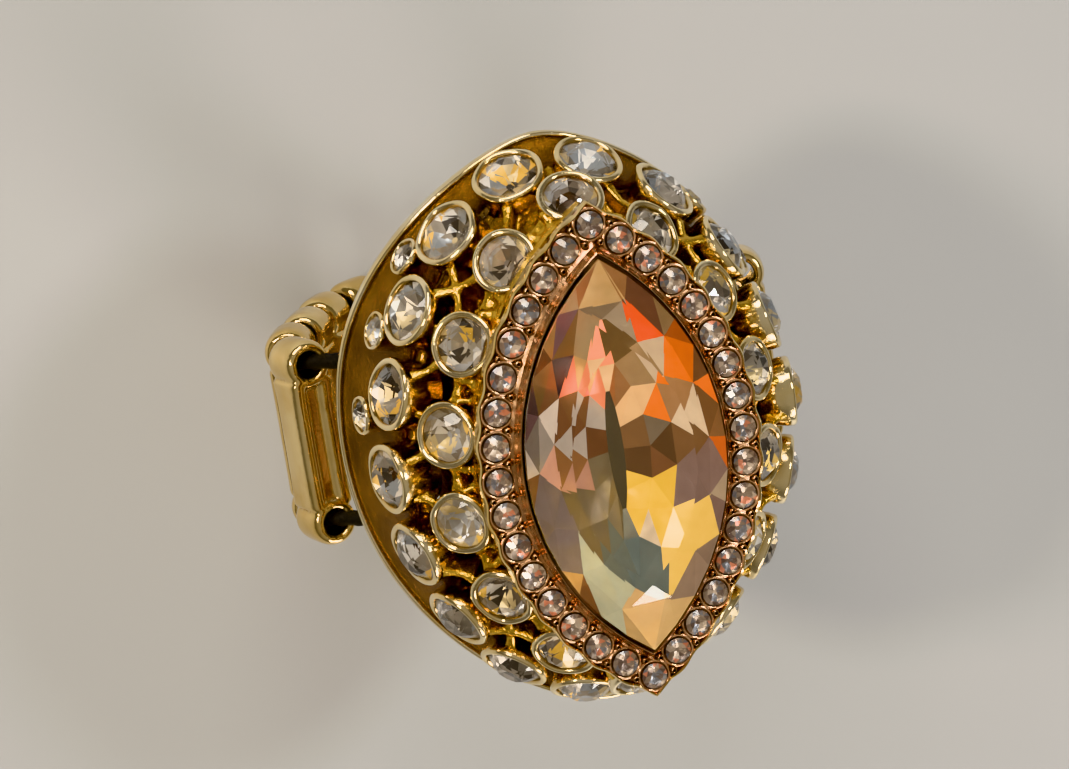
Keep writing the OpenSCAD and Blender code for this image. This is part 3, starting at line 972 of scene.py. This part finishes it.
def make_links():
    """Cast links: a rounded eyelet at each end of a bar whose sides are grooved."""
    eyelet = [(0.65, -1.05), (0.72, -1.17), (0.92, -1.19), (1.08, -1.05), (1.17, -0.80), (1.2, -0.4),
              (1.2, 0.4), (1.17, 0.80), (1.08, 1.05), (0.92, 1.19), (0.72, 1.17), (0.65, 1.05)]
    half = [(0.0, 1.14), (0.75, 1.10), (1.02, 0.98), (1.10, 0.78), (1.06, 0.48), (0.84, 0.36), (0.80, -0.30),
            (0.98, -0.44), (1.04, -0.75), (0.98, -1.05), (0.70, -1.16), (0.0, -1.17)]
    section = half + [(-t, r) for t, r in half[-2:0:-1]]
    for name, (centre, along) in link_places.items():
        out = np.cross(along, FINGER)
        if out @ centre < 0:
            out = -out
        mesh = Mesh()
        for end in (-1, 1):
            add_barrel(mesh, centre + end * CORD_Y * FINGER, along, out, eyelet)
        add_bar(mesh, centre, along, out, CORD_Y - 0.8, section)
        piece = make_piece(name + "_cast", mesh, [gold], name, True, [name])
        melt(piece, 0.09, 5)


def add_cord(mesh, path):
    """Round elastic cord along a path, with three ribs of its woven cover winding round it."""
    rib = 0.03
    turn = turns(18)
    rings = []
    run = 0.0
    for k, at in enumerate(path):
        ahead = unit(path[min(k + 1, len(path) - 1)] - path[max(k - 1, 0)])
        if k:
            run += np.linalg.norm(at - path[k - 1])
        radius = (CORD_R - rib + rib * np.cos(3 * turn + 7 * run))[:, None]
        rings.append(at + radius * circle_round(ahead, FINGER, 18))
    mesh.grid(rings, caps=True)


def straight_path(start, end):
    """Points about 0.12 mm apart from one place to another."""
    count = max(2, int(np.linalg.norm(end - start) / 0.12))
    return [start + (end - start) * k / count for k in range(count + 1)]


def cord_into_link(start, centre, beyond):
    """A cord's path to a link's centre, and a little way on through its eyelet towards the next link."""
    tail = centre + 0.9 * unit(beyond - centre)
    return straight_path(start, centre) + straight_path(centre, tail)[1:]


def make_cords():
    """Each cord in lengths: through the head, from the head to each end link, and between each two links."""
    centres = [link_places[name][0] for name in link_names]
    for label, y in (("cord_upper", CORD_Y), ("cord_lower", -CORD_Y)):
        lift = y * FINGER
        mesh = Mesh()
        angles = np.radians(np.linspace(-LUG_DEGREES, LUG_DEGREES, 150))
        add_cord(mesh, [CORD_LOOP_R * np.array([math.sin(a), 0, math.cos(a)]) + lift for a in angles])
        make_piece(label + "_head", mesh, [cord_rubber], "head", True, [label])
        for side, first, second, name in ((1, centres[0], centres[1], link_names[0]),
                                          (-1, centres[-1], centres[-2], link_names[-1])):
            start, _ = head_cord_place(side)
            mesh = Mesh()
            add_cord(mesh, cord_into_link(start + lift, first + lift, second + lift))
            piece = make_piece(f"{label}_to_{name}", mesh, [cord_rubber], None)
            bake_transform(piece)
        for k in range(len(centres) - 1):
            # Of its two links, the one nearer the bottom of the band carries it
            upper, lower = (k, k + 1) if k < len(centres) // 2 else (k + 1, k)
            beyond = 2 * lower - upper
            path = cord_into_link(centres[upper] + lift, centres[lower] + lift, centres[beyond] + lift)
            mesh = Mesh()
            # These lengths are all drawn from the first link towards the last, so their ribs wind alike
            add_cord(mesh, path if upper < lower else path[::-1])
            make_piece(f"{label}_{k + 1:02d}", mesh, [cord_rubber], link_names[lower])


link_places = {name: link_place(name) for name in link_names}


# ---------------------------------------------------------------- stage

def make_camera():
    """The camera, at the photograph's viewing angle on the ring."""
    target = Vector((-3.5 * MM, 4.0 * MM, halo_z * MM))
    distance_mm = 117.4
    azimuth = math.radians(224.4)
    elevation = math.radians(70.05)
    roll = math.radians(125.2)
    flat = math.cos(elevation)
    back = Vector((math.sin(azimuth) * flat, -math.cos(azimuth) * flat, math.sin(elevation)))
    data = bpy.data.cameras.new("camera")
    data.lens = 91.06
    data.sensor_width = 36
    data.clip_start = 0.005
    data.clip_end = 5
    camera = bpy.data.objects.new("camera", data)
    bpy.context.scene.collection.objects.link(camera)
    turn = (-back).to_track_quat("-Z", "Y").to_matrix().to_4x4() @ Matrix.Rotation(roll, 4, "Z")
    camera.matrix_world = Matrix.Translation(target + back * distance_mm * MM) @ turn
    bpy.context.scene.camera = camera


def make_floor():
    """A pale table under the ring, in metres."""
    material, tree, shader = new_material("pale_table")
    cloud = noise(tree, mm_coordinates(tree), 0.02, 3.0)
    colour = ramp(tree, cloud, [(0.3, (0.39, 0.388, 0.382)), (0.7, (0.43, 0.427, 0.42))])
    tree.links.new(colour, shader.inputs["Base Color"])
    shader.inputs["Roughness"].default_value = 0.5
    half = 1.2
    z = cad_bounds[0].z
    corners = [(-half, -half, z), (half, -half, z), (half, half, z), (-half, half, z)]
    data = bpy.data.meshes.new("table_top")
    data.from_pydata(corners, [], [(0, 1, 2, 3)])
    data.materials.append(material)
    floor = bpy.data.objects.new("table_top", data)
    bpy.context.scene.collection.objects.link(floor)
    # The lowest link stands on the table and travels when the band stretches, so the table goes with it
    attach(floor, "band_link_07")


def area_light(name, place_mm, aim_mm, size_mm, watts, colour):
    """A rectangular soft light that faces a place."""
    data = bpy.data.lights.new(name, "AREA")
    data.shape = "RECTANGLE"
    data.size = size_mm[0] * MM
    data.size_y = size_mm[1] * MM
    data.energy = watts
    data.color = colour
    light = bpy.data.objects.new(name, data)
    bpy.context.scene.collection.objects.link(light)
    place = Vector(place_mm) * MM
    aim = Vector(aim_mm) * MM
    light.location = place
    light.rotation_mode = "QUATERNION"
    light.rotation_quaternion = (aim - place).to_track_quat("-Z", "Y")


def make_light():
    """A soft studio: a pale world and four area lights."""
    world = bpy.data.worlds.new("studio")
    world.use_nodes = True
    tree = world.node_tree
    direction = tree.nodes.new("ShaderNodeTexCoord")
    split = tree.nodes.new("ShaderNodeSeparateXYZ")
    tree.links.new(direction.outputs["Generated"], split.inputs[0])
    # A little dimmer at the height of the table than overhead
    room = [(0.0, (0.36, 0.34, 0.31)), (0.3, (0.30, 0.28, 0.25)), (0.7, (0.58, 0.54, 0.48)),
            (1.0, (0.66, 0.62, 0.56))]
    background = tree.nodes["Background"]
    tree.links.new(ramp(tree, split.outputs["Z"], room), background.inputs["Color"])
    background.inputs["Strength"].default_value = 0.57
    bpy.context.scene.world = world
    bpy.context.scene.view_settings.view_transform = "Khronos PBR Neutral"
    aim = (0, 0, 8)
    area_light("key_left", (-213, 70, 205), aim, (34, 34), 0.46, (1.0, 0.89, 0.73))
    area_light("soft_top", (-40, 190, 120), aim, (150, 60), 0.30, (1.0, 0.95, 0.88))
    area_light("soft_low", (60, -200, 90), aim, (110, 70), 0.36, (1.0, 0.94, 0.87))
    area_light("soft_right", (150, 70, 220), aim, (40, 40), 0.23, (0.94, 0.97, 1.0))


# ---------------------------------------------------------------- build

make_camera()
make_centre_stone()
make_small_stones()
make_bezels()
make_lattice()
make_wall()
make_halo()
make_links()
make_cords()
make_floor()
make_light()
